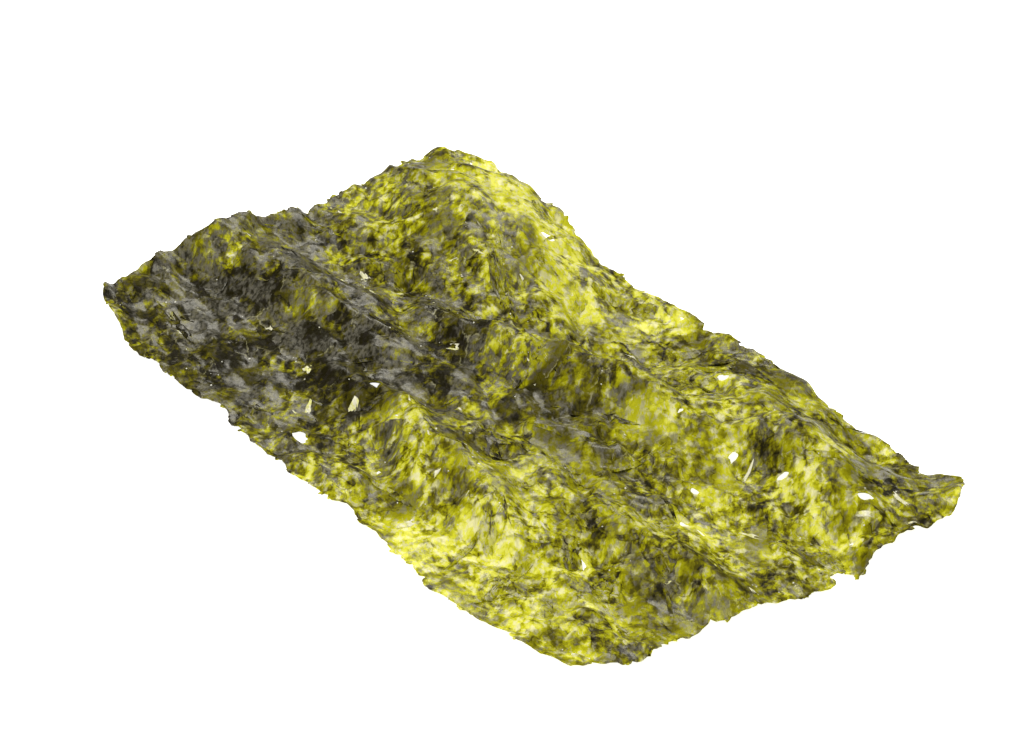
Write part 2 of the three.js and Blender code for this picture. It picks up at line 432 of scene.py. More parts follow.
def border_and_holes(x, y):
    """Two distances in mm: inside the border with its fringe taken off, and outside the nearest hole. The
    fringe is the square of a blade's own number plus noise. Around a hole that number and noise are added
    too, and less of them round a small hole, so that no hole is an oval and none is lost."""
    which = blades(*bent(x, y), FRINGE_BLADES)[0]
    border = inside_border(x, y) - FRINGE["blade"] * which**2
    border = border - FRINGE["ragged"] * rough(x, y, RAGGED_SIZE, FRINGE["seed"], 3)
    torn = TORN_RIM["blade"] * (which - 0.5)
    torn = torn + TORN_RIM["ragged"] * rough(x, y, RAGGED_SIZE, TORN_RIM["seed"], 3)
    outside = np.full(np.shape(x), FAR_FROM_HOLES)
    for hole in TEARS + PINHOLE_PLACES:
        along, across = turned(x, y, hole)
        away = np.hypot(along / hole["along"], across / hole["across"]) - 1
        rim = torn * min(1, TORN_RIM["small_hole"] * hole["across"])
        outside = np.minimum(outside, away * hole["across"] + rim)
    return border, outside


print("deepest inside a hole, in mm:", round(float(-border_and_holes(*coarse_grid())[1].min()), 2))

# %% [markdown]
# ## From numbers to a mesh
# A grid of places is joined into triangles, and the triangles that the zero line crosses are cut where it
# crosses their edges. The cut film is made twice, a hair apart. The lower one is turned over and joined to
# the upper along every border, so the film is one closed skin like the real thing. A modifier could thicken
# it too, but only evenly or by painted weights, and here each place has its own thickness.


# %% A grid, and what hangs together on it
def joined_to_middle(mask):
    """The part of the mask that can be walked to from its middle: grown a step at a time until it stays."""
    reached = np.zeros_like(mask)
    middle = (mask.shape[0] // 2, mask.shape[1] // 2)
    reached[middle[0] - 2 : middle[0] + 3, middle[1] - 2 : middle[1] + 3] = True
    reached &= mask
    while True:
        grown = reached.copy()
        grown[1:] |= reached[:-1]
        grown[:-1] |= reached[1:]
        grown[:, 1:] |= reached[:, :-1]
        grown[:, :-1] |= reached[:, 1:]
        grown &= mask
        if grown.sum() == reached.sum():
            return reached
        reached = grown


def grid_triangles(rows, columns):
    """Two triangles to each square of a grid whose points are numbered row by row."""
    corner = (np.arange(rows - 1)[:, None] * columns + np.arange(columns - 1)).ravel()
    lower = np.stack([corner, corner + 1, corner + columns + 1], axis=1)
    upper = np.stack([corner, corner + columns + 1, corner + columns], axis=1)
    return np.concatenate([lower, upper])


print("triangles on a grid of 3 by 4 points:", len(grid_triangles(3, 4)))


# %% Cut and thicken
def cut_at_zero(data, triangles, inside):
    """Keeps the triangles' parts where inside is above 0. A crossed edge gets a point at the share
    inside_a / (inside_a - inside_b) of its way, with all data blended by that share."""
    sign = inside > 0
    count = sign[triangles].sum(axis=1)
    crossed = {}
    for wanted, odd_is_inside in ((1, True), (2, False)):
        group = triangles[count == wanted]
        odd = np.argmax(sign[group] == odd_is_inside, axis=1)
        order = (odd[:, None] + np.arange(3)) % 3
        crossed[wanted] = np.take_along_axis(group, order, axis=1)
    odd_first = np.concatenate([crossed[1], crossed[2]])
    ends = np.concatenate([odd_first[:, [0, 1]], odd_first[:, [0, 2]]])
    ends.sort(axis=1)
    edges, spot = np.unique(ends, axis=0, return_inverse=True)
    spot = spot.reshape(-1)
    a, b = edges.T
    share = (inside[a] / (inside[a] - inside[b]))[:, None]
    points = np.concatenate([data, data[a] * (1 - share) + data[b] * share])
    first, second = (half + len(data) for half in np.split(spot, 2))
    ones = len(crossed[1])
    parts = [
        triangles[count == 3],
        np.stack([crossed[1][:, 0], first[:ones], second[:ones]], axis=1),
        np.stack([first[ones:], crossed[2][:, 1], crossed[2][:, 2]], axis=1),
        np.stack([first[ones:], crossed[2][:, 2], second[ones:]], axis=1),
    ]
    used, faces = np.unique(np.concatenate(parts), return_inverse=True)
    return points[used], faces.reshape(-1, 3)


def closed_skin(top, bottom, faces):
    """Top faces, the same faces turned over for the bottom, and a wall along every edge with one face."""
    count = len(top)
    edges = np.concatenate([faces[:, [0, 1]], faces[:, [1, 2]], faces[:, [2, 0]]])
    key, back = edges[:, 0] * count + edges[:, 1], edges[:, 1] * count + edges[:, 0]
    a, b = edges[~np.isin(key, back)].T
    outer = np.stack([a + count, b + count, b], axis=1)
    inner = np.stack([a + count, b, a], axis=1)
    return np.concatenate([top, bottom]), np.concatenate([faces, faces[:, ::-1] + count, outer, inner])


ONE_SQUARE = closed_skin(np.zeros(4), np.zeros(4), grid_triangles(2, 2))[1]
print("triangles of one square with a closed skin:", len(ONE_SQUARE))


# %% Build a piece on the root body
def make_piece(name, points_mm, faces, material, flat=None, layers=None):
    """A mesh object from points in mm and triangles, smooth shaded, riding on the root body. Each point may
    carry its flat place in mm and its number of layers for the finish."""
    mesh = bpy.data.meshes.new(name)
    mesh.from_pydata((points_mm * MM).tolist(), [], faces.tolist())
    mesh.polygons.foreach_set("use_smooth", np.ones(len(faces), dtype=bool))
    if flat is not None:
        mesh.attributes.new("flat", "FLOAT_VECTOR", "POINT").data.foreach_set("vector", flat.ravel())
        mesh.attributes.new("layers", "FLOAT", "POINT").data.foreach_set("value", layers)
    mesh.materials.append(material)
    mesh.validate()
    piece = bpy.data.objects.new(name, mesh)
    bpy.context.scene.collection.objects.link(piece)
    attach(piece, BODY)
    print(f"{name}: {len(faces)} triangles")
    return piece


# %% [markdown]
# ## Shader maths in plain Python
# The finishes below are formulas: how thick, how shiny, how high. Written as Python expressions they read
# like the formulas they are, so one small class stands for a node's output and turns + - * and > into
# nodes. Placing each node by hand would work too, but no one could read the formula back from it.


# %% A socket that does sums
class Socket:
    """A node's output. An operator on it, on either side, adds one Math node and gives its output."""

    def __init__(self, finish, output):
        self.finish = finish
        self.output = output

    def sum(self, operation, *values):
        """The output of a Math node with these inputs."""
        return self.finish.node("Math", {"operation": operation}, *values)

    def other(self, name):
        """Another output of the same node."""
        return Socket(self.finish, self.output.node.outputs[name])

    def __add__(self, value):
        return self.sum("ADD", self, value)

    def __sub__(self, value):
        return self.sum("SUBTRACT", self, value)

    def __rsub__(self, value):
        return self.sum("SUBTRACT", value, self)

    def __mul__(self, value):
        return self.sum("MULTIPLY", self, value)

    def __gt__(self, value):
        return self.sum("GREATER_THAN", self, value)

    def __lt__(self, value):
        return self.sum("LESS_THAN", self, value)

    def step(self, low, high):
        """0 below low and 1 above high, smooth between."""
        settings = {"interpolation_type": "SMOOTHSTEP"}
        return self.finish.node("MapRange", settings, self, low, high)

    __radd__ = __add__
    __rmul__ = __mul__


# %% A finish that adds nodes
class Finish:
    """A material in the making."""

    def __init__(self, name):
        self.material = bpy.data.materials.new(name)
        self.material.use_nodes = True
        self.tree = self.material.node_tree
        self.tree.nodes.clear()

    def node(self, kind, settings=None, *values, output=0, **named):
        """Adds a node, sets it, then gives its inputs values or links, in order or by name."""
        node = self.tree.nodes.new("ShaderNode" + kind)
        for key, value in (settings or {}).items():
            if key == "stops":
                self.set_stops(node.color_ramp.elements, value)
            else:
                setattr(node, key, value)
        inputs = list(zip(node.inputs, values))
        inputs += [(node.inputs[key.replace("_", " ")], value) for key, value in named.items()]
        for socket, value in inputs:
            if isinstance(value, Socket):
                self.tree.links.new(value.output, socket)
            elif value is not None:
                socket.default_value = value
        return Socket(self, node.outputs[output])

    @staticmethod
    def set_stops(elements, stops):
        """A ramp's colours, at their positions."""
        while len(elements) < len(stops):
            elements.new(0.5)
        for element, (position, colour) in zip(elements, stops):
            element.position = position
            element.color = (*colour, 1)

    def blend(self, factor, a, b):
        """Colour a where the factor is 0 and b where it is 1. The Mix node keeps five number and vector
        inputs between its factor and its colours, and they stay unset."""
        a, b = (value if isinstance(value, Socket) else (*value, 1) for value in (a, b))
        unset = [None] * 5
        return self.node("Mix", {"data_type": "RGBA"}, factor, *unset, a, b, output=2)

    def vector(self, operation, *values):
        """The output of a Vector Math node with these inputs."""
        return self.node("VectorMath", {"operation": operation}, *values)

    def parts(self, place):
        """The three parts of a place or colour."""
        first = self.node("SeparateXYZ", {}, place)
        return first, first.other("Y"), first.other("Z")

    def turned(self, place, degrees, along, across):
        """A place turned back and then scaled, so that a pattern on it is stretched in that direction."""
        named = dict(Rotation=(0, 0, math.radians(degrees)), Scale=(1 / along, 1 / across, 1))
        return self.node("Mapping", {"vector_type": "TEXTURE"}, place, **named)

    def noise(self, place, scale, detail, roughness=0.5, output=0):
        """Flat noise from 0 to 1 about 0.5, `scale` lumps to a millimetre."""
        named = dict(Vector=place, Scale=scale, Detail=detail, Roughness=roughness)
        return self.node("TexNoise", {"noise_dimensions": "2D"}, output=output, **named)

    def cells(self, place, size, feature="F1"):
        """Flat cells of one size, each round the nearest of scattered points."""
        settings = {"voronoi_dimensions": "2D", "feature": feature}
        return self.node("TexVoronoi", settings, Vector=place, Scale=1 / size)

    def from_edge(self, place, size):
        """Distance in mm to the nearest edge between cells of one size."""
        return self.cells(place, size, "DISTANCE_TO_EDGE") * size

    def surface(self, shader):
        """Ends the material in this shader and hands the material over."""
        end = self.tree.nodes.new("ShaderNodeOutputMaterial")
        self.tree.links.new(shader.output, end.inputs["Surface"])
        return self.material


# %% [markdown]
# ## The laver finish
# Light that passes one blade comes out yellow-green. Each further blade takes a share of what is left, so
# the colour goes from chartreuse through olive to a brown-black, with hardly any blue anywhere. That is a
# ramp over the number of layers. In patches a second, greyer ramp takes over, as a painted grey sheen.
# The mesh carries the large blades as an attribute, and the finish adds what is smaller: cells with their
# own thickness and tilt, dark veins where they overlap, wrinkle lines, and a few broad blades on top that
# calm the felt below them. A painted picture could do all this, but it would hold one size of detail only.

# %% Colours from thin film to thick
THIN_TO_THICK = [
    (0.00, (0.85, 0.845, 0.32)),
    (0.17, (0.69, 0.693, 0.045)),
    (0.35, (0.49, 0.482, 0.006)),
    (0.51, (0.240, 0.226, 0.003)),
    (0.70, (0.080, 0.070, 0.002)),
    (0.93, (0.012, 0.010, 0.002)),
]
# A greyer ramp, for patches of painted grey sheen.
SHEENED_THIN_TO_THICK = [
    (0.00, (0.90, 0.88, 0.74)),
    (0.17, (0.75, 0.735, 0.48)),
    (0.35, (0.46, 0.445, 0.21)),
    (0.51, (0.230, 0.216, 0.100)),
    (0.70, (0.090, 0.080, 0.044)),
    (0.93, (0.018, 0.015, 0.010)),
]
# A painted grey sheen.
PAINTED_SHEEN = (0.185, 0.174, 0.140)
# A cream for painted glints.
PAINTED_GLINT_CREAM = (0.88, 0.86, 0.72)
# A painted highlight along blade rims.
PAINTED_RIM_HIGHLIGHT = (0.50, 0.475, 0.27)
print("colours on the clear and the cloudy ramp:", len(THIN_TO_THICK), len(SHEENED_THIN_TO_THICK))

# %% The small blades, each a cell with its own thickness and tilt
SMALL_BLADES = [
    dict(size=1.5, stretch=0.7, turn=-20, share=0.27, tilt=0.14),
    dict(size=0.75, stretch=0.9, turn=-62, share=0.22, tilt=0.12),
    dict(size=0.30, stretch=0.8, turn=15, share=0.05, tilt=0.10),
]
VEIN = dict(width=0.10, share=0.06, chance=0.6, depth=0.02)


def small_blades(finish, place):
    """Shares of thickness and heights in mm, summed over three sizes of cell. A cell gives its share times
    a chance of its own less a half, and it leans by two more chances times the offset from its point. A
    vein along its edge is a groove, and in two cells out of five it is thicker too."""
    varied, height = 0.0, 0.0
    for small in SMALL_BLADES:
        here = finish.turned(place, small["turn"], small["stretch"], 1)
        cells = finish.cells(here, small["size"])
        chance, lean_along, lean_across = finish.parts(cells.other("Color"))
        along, across, _ = finish.parts(finish.vector("SUBTRACT", here, cells.other("Position")))
        vein = 1 - finish.cells(here, small["size"], "DISTANCE_TO_EDGE").step(0.0, VEIN["width"])
        thicker = VEIN["share"] * vein * (lean_along > VEIN["chance"])
        varied = varied + small["share"] * (chance - 0.5) + thicker
        lean = (lean_along - 0.5) * along + (lean_across - 0.5) * across
        height = height + lean * (2 * small["tilt"]) - vein * (VEIN["depth"] * small["size"])
    return varied, height


print("sizes of small blade, in mm:", [small["size"] for small in SMALL_BLADES])

# %% The wrinkles, raised lines that come and go
WRINKLES = [
    dict(size=5.5, stretch=0.3, turn=10, width=0.16, share=0.25, height=0.05),
    dict(size=2.6, stretch=0.4, turn=-16, width=0.12, share=0.21, height=0.03),
    dict(size=1.5, stretch=0.45, turn=38, width=0.09, share=0.20, height=0.02),
]
WRINKLE_RUNS = dict(scale=0.8, detail=1.0, limits=(0.49, 0.58))


def wrinkles(finish, place):
    """Shares of thickness and heights in mm, summed over three sizes. A wrinkle follows the edges between
    wide cells, and shows only where a noise as wide as they are is above its middle."""
    varied, height = 0.0, 0.0
    for wrinkle in WRINKLES:
        here = finish.turned(place, wrinkle["turn"], wrinkle["stretch"], 1)
        away = finish.from_edge(here, wrinkle["size"])
        runs = finish.noise(here, WRINKLE_RUNS["scale"] / wrinkle["size"], WRINKLE_RUNS["detail"])
        line = (1 - away.step(0.0, wrinkle["width"])) * runs.step(*WRINKLE_RUNS["limits"])
        varied = varied + wrinkle["share"] * line
        height = height + wrinkle["height"] * line
    return varied, height


print("highest wrinkle, in mm:", max(wrinkle["height"] for wrinkle in WRINKLES))

# %% The top blades, which calm the felt below them
# Each top blade adds its own share of painted grey sheen, and its rim carries a painted highlight.
TOP_BLADES = [
    dict(size=3.8, stretch=0.5, turn=-10, share=0.09, skin=0.26, calm=0.72),
    dict(size=2.0, stretch=0.6, turn=-44, share=0.09, skin=0.20, calm=0.78),
]
CALMING = 0.45
# The broken line along a top blade's rim, where the painted highlight goes.
RIM = dict(width=(0.02, 0.08), scale=1.3, detail=2.0, limits=(0.60, 0.68))


def top_blades(finish, place):
    """Four sums over two sizes of broad cell: share of thickness, share of painted grey sheen, how much it
    calms what lies below, which only cells with a high chance do, and a broken line along its rim, where a
    painted highlight goes."""
    share, skin, calm, rim = 0.0, 0.0, 0.0, 0.0
    for blade in TOP_BLADES:
        here = finish.turned(place, blade["turn"], blade["stretch"], 1)
        chance, sheen_chance, calm_chance = finish.parts(finish.cells(here, blade["size"]).other("Color"))
        share = share + blade["share"] * (chance - 0.5)
        skin = skin + blade["skin"] * (sheen_chance - 0.5)
        calm = calm + CALMING * (calm_chance > blade["calm"])
        line = 1 - finish.from_edge(here, blade["size"]).step(*RIM["width"])
        broken = finish.noise(here, RIM["scale"] / blade["size"], RIM["detail"])
        rim = rim + line * broken.step(*RIM["limits"])
    return share, skin, calm, rim


print("sizes of top blade, in mm:", [blade["size"] for blade in TOP_BLADES])

# %% [markdown]
# ## Density, colour and light through the film
# Density is the number of layers with all the small things added, and it decides nearly everything: the
# place on the ramp, where a painted grey sheen may lie, and how much light comes through. Pale specks
# and cream scraps are painted glints over the ramp. The oil is a coat, and a bump lets the small tilts
# glint.
# Light from behind could take its colour from the ramp too. Three shaders of one plain colour each do it
# instead, for clear film, for film under painted sheen and glints, and for dense film, so that only their
# bump and the factors they mix by change.

# %% Patterns in the film: noise, with limits where it is cut to patches
WOBBLE = dict(scale=0.7, detail=3.0, reach=1.1)
STREAK = dict(scale=1.0, detail=4.0, roughness=0.6)
FINE = dict(scale=2.2, detail=3.0, roughness=0.55)
MOTTLE = dict(scale=1.25, detail=3.0, roughness=0.55, limits=(0.30, 0.70))
# This noise places the greyer ramp, a painted grey sheen.
SHEEN_CLOUD = dict(scale=1.3, detail=4.0, roughness=0.6, limits=(0.50, 0.64))
# This noise places the pale specks, painted glints.
SPECK = dict(scale=1.9, detail=4.0, roughness=0.65, limits=(0.57, 0.64))
# This noise places the painted grey sheen and the oil coat.
SHEEN_AND_OIL = dict(scale=1.0, detail=4.0, roughness=0.55)
GRAIN = dict(scale=2.6, detail=3.0, roughness=0.6)
GLOSS = dict(scale=0.9, detail=2.0, roughness=0.5)
STREAK_RUN = dict(degrees=8, along=0.35, across=1.2)
SHEEN_AND_OIL_RUN = dict(degrees=-12, along=0.25, across=0.6)
SPECK_RUN = dict(degrees=-20, along=0.5, across=1.0)
FELT_RUN = dict(degrees=-35, along=0.74, across=1.0)
SHARES = dict(streak=0.28, fine=0.18, mottle=0.40)
HEIGHTS = dict(streak=0.12, fine=0.10)
LIVELY = dict(thin=1.18, less=0.45, limits=(0.4, 0.85))
LAYER_SHIFT = 0.06
SHEEN_AND_OIL_SLOPE = 0.0012


def pattern(finish, place, look):
    """Noise with a look's scale, detail and roughness, cut to its limits where it has some."""
    noise_there = finish.noise(place, look["scale"], look["detail"], look["roughness"])
    return noise_there.step(*look["limits"]) if "limits" in look else noise_there


def wobbled(finish, flat):
    """The flat place moved about by coloured noise less a half, so that no cell edge is straight."""
    push = finish.noise(flat, WOBBLE["scale"], WOBBLE["detail"], output=1)
    push = finish.vector("SUBTRACT", push, (0.5, 0.5, 0.5))
    return finish.vector("ADD", flat, finish.vector("SCALE", push, None, None, WOBBLE["reach"]))


LOOKS = (STREAK, FINE, MOTTLE, SHEEN_CLOUD, SPECK, SHEEN_AND_OIL, GRAIN, GLOSS)
print("finest pattern, in lumps to a mm:", max(look["scale"] for look in LOOKS))

# %% The film's surface and the light through it
# Where the painted grey sheen lies.
PAINTED_SHEEN_MASK = dict(dull=(0.47, 0.61), density=(0.2, 0.55), grain=(0.30, 0.66), most=0.55)
# Where the painted rim highlight shows.
RIM_HIGHLIGHT_MASK = dict(grain=(0.3, 0.6), most=0.4)
# Pale specks: painted glints, on thin film only.
GLINT_SPECKS = dict(density=(0.15, 0.45), most=0.9)
# Cream where the layers are fewest, which is on the pale scraps: painted glints.
CREAM_GLINT_SCRAPS = dict(varied=0.9, layers=(-0.72, -0.42))
OIL = dict(dull=(0.44, 0.60), most=0.5)
LIGHT_THROUGH = dict(clear=(0.85, 0.845, 0.06), sheen_and_glints=(0.87, 0.85, 0.55), dense=(0.012, 0.010, 0.002))
DENSE_LIGHT = (0.0, 0.8)
THROUGH = dict(most=0.62, less=0.5, density=(0.1, 0.8), cream_glint_scraps=0.4, layers=(-0.5, -0.2))


def light_through(finish, density, layers, sheen_and_glints, bump):
    """A shader for light from behind, and its share. Clear light and a paler light mix by the share of
    painted sheen and glints, and both give way to dense light as the density grows. The share falls with
    density, and on the cream scraps."""
    clear_light, sheen_and_glint_light, dense_light = (
        finish.node("BsdfTranslucent", {}, Color=(*LIGHT_THROUGH[film_kind], 1), Normal=bump)
        for film_kind in ("clear", "sheen_and_glints", "dense")
    )
    behind = finish.node("MixShader", {}, sheen_and_glints, clear_light, sheen_and_glint_light)
    behind = finish.node("MixShader", {}, density.step(*DENSE_LIGHT), behind, dense_light)
    in_felt = THROUGH["cream_glint_scraps"] + (1 - THROUGH["cream_glint_scraps"]) * layers.step(*THROUGH["layers"])
    share = (THROUGH["most"] - THROUGH["less"] * density.step(*THROUGH["density"])) * in_felt
    return behind, share


# %% The finish as formulas
def laver_finish():
    """Density is the layers from the mesh, plus each small blade's own share, plus wrinkles and noise, and
    it varies less where the film is thick and where a top blade lies. Its two ramps, clear and the greyer
    one of painted sheen, give the colour, with painted grey sheen, painted rim highlights, and pale specks
    and cream scraps as painted glints over it. Height is the lean of the small blades plus wrinkles and
    noise, and it feeds the bump."""
    finish = Finish("laver_film")
    flat = finish.node("Attribute", {"attribute_name": "flat"}).other("Vector")
    layers = finish.node("Attribute", {"attribute_name": "layers"}).other("Fac")
    place = wobbled(finish, flat)
    felt = finish.turned(flat, **FELT_RUN)

    blade_share, blade_height = small_blades(finish, place)
    wrinkle_share, wrinkle_height = wrinkles(finish, place)
    top_share, top_sheen, calm, rim = top_blades(finish, place)
    streak = pattern(finish, finish.turned(place, **STREAK_RUN), STREAK)
    fine = pattern(finish, felt, FINE)
    mottle = pattern(finish, felt, MOTTLE)
    noise_share = SHARES["streak"] * (streak - 0.5) + SHARES["fine"] * (fine - 0.5)
    varied = blade_share + wrinkle_share + noise_share + SHARES["mottle"] * (mottle - 0.5)
    height = blade_height + wrinkle_height + HEIGHTS["fine"] * fine + HEIGHTS["streak"] * streak
    lively = LIVELY["thin"] - LIVELY["less"] * layers.step(*LIVELY["limits"])
    varied = varied * lively * (1 - calm) + top_share
    density = layers + LAYER_SHIFT + varied

    # Patches where the greyer ramp paints a grey sheen over the film.
    cloud = pattern(finish, felt, SHEEN_CLOUD)
    clear = finish.node("ValToRGB", {"stops": THIN_TO_THICK}, density)
    sheened = finish.node("ValToRGB", {"stops": SHEENED_THIN_TO_THICK}, density)
    colour = finish.blend(cloud, clear, sheened)
    grain = pattern(finish, felt, GRAIN)
    along_sheet = finish.parts(flat)[0]
    # One noise places both the painted grey sheen and the oil coat, with more of both towards the left end.
    dull = pattern(finish, finish.turned(place, **SHEEN_AND_OIL_RUN), SHEEN_AND_OIL) - SHEEN_AND_OIL_SLOPE * along_sheet + top_sheen
    # A painted grey sheen, broken up by the grain.
    skin = dull.step(*PAINTED_SHEEN_MASK["dull"]) * density.step(*PAINTED_SHEEN_MASK["density"]) * grain.step(*PAINTED_SHEEN_MASK["grain"])
    colour = finish.blend(PAINTED_SHEEN_MASK["most"] * skin, colour, PAINTED_SHEEN)
    # A painted highlight along the rims of top blades.
    colour = finish.blend(RIM_HIGHLIGHT_MASK["most"] * rim * grain.step(*RIM_HIGHLIGHT_MASK["grain"]), colour, PAINTED_RIM_HIGHLIGHT)
    # Pale specks: painted glints.
    pale = GLINT_SPECKS["most"] * pattern(finish, finish.turned(place, **SPECK_RUN), SPECK)
    pale = pale * (1 - density.step(*GLINT_SPECKS["density"]))
    # Cream on the pale scraps: painted glints.
    cream_glint_scraps = 1 - (layers + CREAM_GLINT_SCRAPS["varied"] * varied).step(*CREAM_GLINT_SCRAPS["layers"])
    colour = finish.blend(pale, colour, PAINTED_GLINT_CREAM)
    colour = finish.blend(cream_glint_scraps, colour, PAINTED_GLINT_CREAM)

    bump = finish.node("Bump", {}, Strength=1.0, Distance=MM, Height=height)
    gloss = pattern(finish, flat, GLOSS)
    surface = finish.node(
        "BsdfPrincipled", {}, Base_Color=colour, Roughness=0.30 + 0.34 * gloss, Normal=bump, IOR=1.42,
        Specular_IOR_Level=0.06, Coat_Weight=OIL["most"] * dull.step(*OIL["dull"]), Coat_Roughness=0.26,
    )
    sheen_and_glints = 1 - (1 - cloud) * (1 - pale) * (1 - cream_glint_scraps)
    behind, share = light_through(finish, density, layers, sheen_and_glints, bump)
    return finish.surface(finish.node("MixShader", {}, share, surface, behind))


LAVER = laver_finish()
print("nodes in the laver finish:", len(LAVER.node_tree.nodes))

# %% [markdown]
# ## The film itself
# Now the film can be made. A grid with places a third of a millimetre apart is cut along the border and the
# holes, gets its height from the film's formula, and is thickened by its own number of layers. It is one
# piece, as the real sheet is, and it stands for the solid, which stays behind it for weight and contact.
# Cutting a finished mesh with other shapes would also leave holes, but with no say in how their rims look.

# %% The film
STEP = 0.33
CRUMB = -0.01
HOLE_RIM = dict(share=0.3, reach=0.5)
HALF_THICKNESS = dict(least=0.05, more=0.05)
GRID_X = np.arange(-LENGTH / 2 - STEP, LENGTH / 2 + 2 * STEP, STEP)
GRID_Y = np.arange(-WIDTH / 2 - STEP, WIDTH / 2 + 2 * STEP, STEP)


def grid_inside():
    """The lesser distance on the grid, made just negative on crumbs that don't hang together with the rest,
    and the distance to the holes alone."""
    border, outside = border_and_holes(*np.meshgrid(GRID_X, GRID_Y))
    inside = np.minimum(border, outside)
    return np.where(joined_to_middle(inside > 0), inside, np.minimum(inside, CRUMB)), outside


INSIDE, HOLE_DISTANCE = grid_inside()


def on_film(x, y):
    """The inside number at the nearest grid place."""
    column = np.clip(np.rint((x - GRID_X[0]) / STEP).astype(int), 0, GRID_X.size - 1)
    row = np.clip(np.rint((y - GRID_Y[0]) / STEP).astype(int), 0, GRID_Y.size - 1)
    return INSIDE[row, column]


def build_film():
    """The grid's places and heights, cut along the border and holes, and parted into a top and a bottom
    that are half the film's own thickness above and below. The film thins towards a hole, by a share that
    falls off exponentially with distance."""
    x, y = np.meshgrid(GRID_X, GRID_Y)
    z, thickness = film(x, y)
    thickness = thickness - HOLE_RIM["share"] * np.exp(-np.maximum(0, HOLE_DISTANCE) / HOLE_RIM["reach"])
    data = np.stack([x, y, z, thickness], axis=-1).reshape(-1, 4)
    points, faces = cut_at_zero(data, grid_triangles(*x.shape), INSIDE.ravel())
    half = HALF_THICKNESS["least"] + HALF_THICKNESS["more"] * np.clip(points[:, 3:], 0, 1)
    lift = half * np.array([0, 0, 1])
    skin, skin_faces = closed_skin(points[:, :3] + lift, points[:, :3] - lift, faces)
    flat = np.concatenate([points[:, :3] * [1, 1, 0]] * 2)
    return skin, skin_faces, flat, np.concatenate([points[:, 3]] * 2)


skin, skin_faces, skin_flat, skin_layers = build_film()
FILM_SHIFT = (NODE_LOW + NODE_HIGH) / 2 - (skin.min(0) + skin.max(0)) / 2
FILM_SHIFT[2] = -skin[:, 2].min()
print("film shift, in mm:", np.round(FILM_SHIFT, 3), " height:", round(float(np.ptp(skin[:, 2])), 2))
film_piece = make_piece("laver_film", skin + FILM_SHIFT, skin_faces, LAVER, skin_flat, skin_layers)
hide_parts(NODE)

# %% [markdown]
# ## Loose flakes and edge tabs
# Not every blade lies flat in the felt. Some hold on by one end and curl up at the other, and their thin
# rims catch the light. Small scraps are cream, as painted glints: their tone is their own, whatever lies
# below, and few of them are long. Along the cut, blades stick out as small torn tabs.
# They could be bump in the finish, but a bump casts no shadow and shows no rim. So each is a small disc of
# rings, stretched to a torn oval, laid on the film by the film's own formula, and lifted at its free end.

# %% The kinds of flake
FLAKE_KINDS = [
    dict(
        name="wide_flakes", count=95, seed=6, rings=4, spokes=18,
        long=(0.8, 2.4), slim=(0.25, 0.65), lift=(0.02, 0.14), spread=50, shift=(-0.15, 0.15),
    ),
    dict(
        name="narrow_folds", count=95, seed=9, rings=4, spokes=14,
        long=(1.2, 4.6), slim=(0.08, 0.17), lift=(0.04, 0.24), spread=30, shift=(-0.15, 0.15),
    ),
    # Cream scraps: their cream colour is a painted glint.
    dict(
        name="pale_bits", count=85, seed=29, rings=3, spokes=12, fewer_long=1.6, felt=0,
        long=(0.25, 1.3), slim=(0.16, 0.4), lift=(0.02, 0.2), spread=45, shift=(-0.74, -0.54),
    ),
    dict(
        name="edge_tabs", count=110, seed=15, rings=2, spokes=9, on_border=True,
        long=(0.2, 0.42), slim=(0.7, 1.2), lift=(-0.04, 0.02), spread=60, shift=(-0.3, 0.1),
    ),
]
print("kinds of flake:", [kind["name"] for kind in FLAKE_KINDS])

# %% Where flakes lie
TAB_ROOT = dict(inside=0.15, step=0.12, steps=30)
FLAKE_CLEAR = dict(inside=0.3, reach=1.2)


def border_places(count, rng):
    """Places on the cut rectangle in proportion to its sides, each with the direction that leads out, then
    moved in by steps until a little film lies round them. Those that find none, at the worn corners, go."""
    around = rng.uniform(0, 2 * (LENGTH + WIDTH), count)
    side = np.searchsorted([LENGTH, LENGTH + WIDTH, 2 * LENGTH + WIDTH], around)
    run = rng.uniform(-0.5, 0.5, count)
    x = np.choose(side, [run * LENGTH, LENGTH / 2 + 0 * run, run * LENGTH, -LENGTH / 2 + 0 * run])
    y = np.choose(side, [-WIDTH / 2 + 0 * run, run * WIDTH, WIDTH / 2 + 0 * run, run * WIDTH])
    out = np.choose(side, [-math.pi / 2, 0.0, math.pi / 2, math.pi]) + 0 * run
    for _ in range(TAB_ROOT["steps"]):
        step = TAB_ROOT["step"] * (on_film(x, y) < TAB_ROOT["inside"])
        x, y = x - step * np.cos(out), y - step * np.sin(out)
    keep = on_film(x, y) >= TAB_ROOT["inside"]
    return x[keep], y[keep], out[keep]


def flake_places(kind):
    """Middles, headings and half lengths: along the border and pointing more or less outwards, or anywhere
    that the middle and both ends lie on film. A power above one makes the long ones fewer."""
    on_border = kind.get("on_border", False)
    if on_border:
        rng = np.random.default_rng(kind["seed"])
        x, y, turn = border_places(kind["count"], rng)
    else:
        rng, x, y = random_places(kind["count"], kind["seed"])
        turn = math.pi * rng.integers(0, 2, x.size)
    turn = turn + np.radians(rng.normal(0, kind["spread"], x.size))
    least, most = kind["long"]
    long = least + (most - least) * rng.uniform(0, 1, x.size) ** kind.get("fewer_long", 1)
    if not on_border:
        ways = [way * FLAKE_CLEAR["reach"] * long for way in (-1, 0, 1)]
        ends = [on_film(x + way * np.cos(turn), y + way * np.sin(turn)) for way in ways]
        keep = np.min(ends, axis=0) > FLAKE_CLEAR["inside"]
        x, y, turn, long = x[keep], y[keep], turn[keep], long[keep]
    return rng, x, y, turn[:, None], long[:, None]


print("edge tabs that find film:", flake_places(FLAKE_KINDS[-1])[1].size)

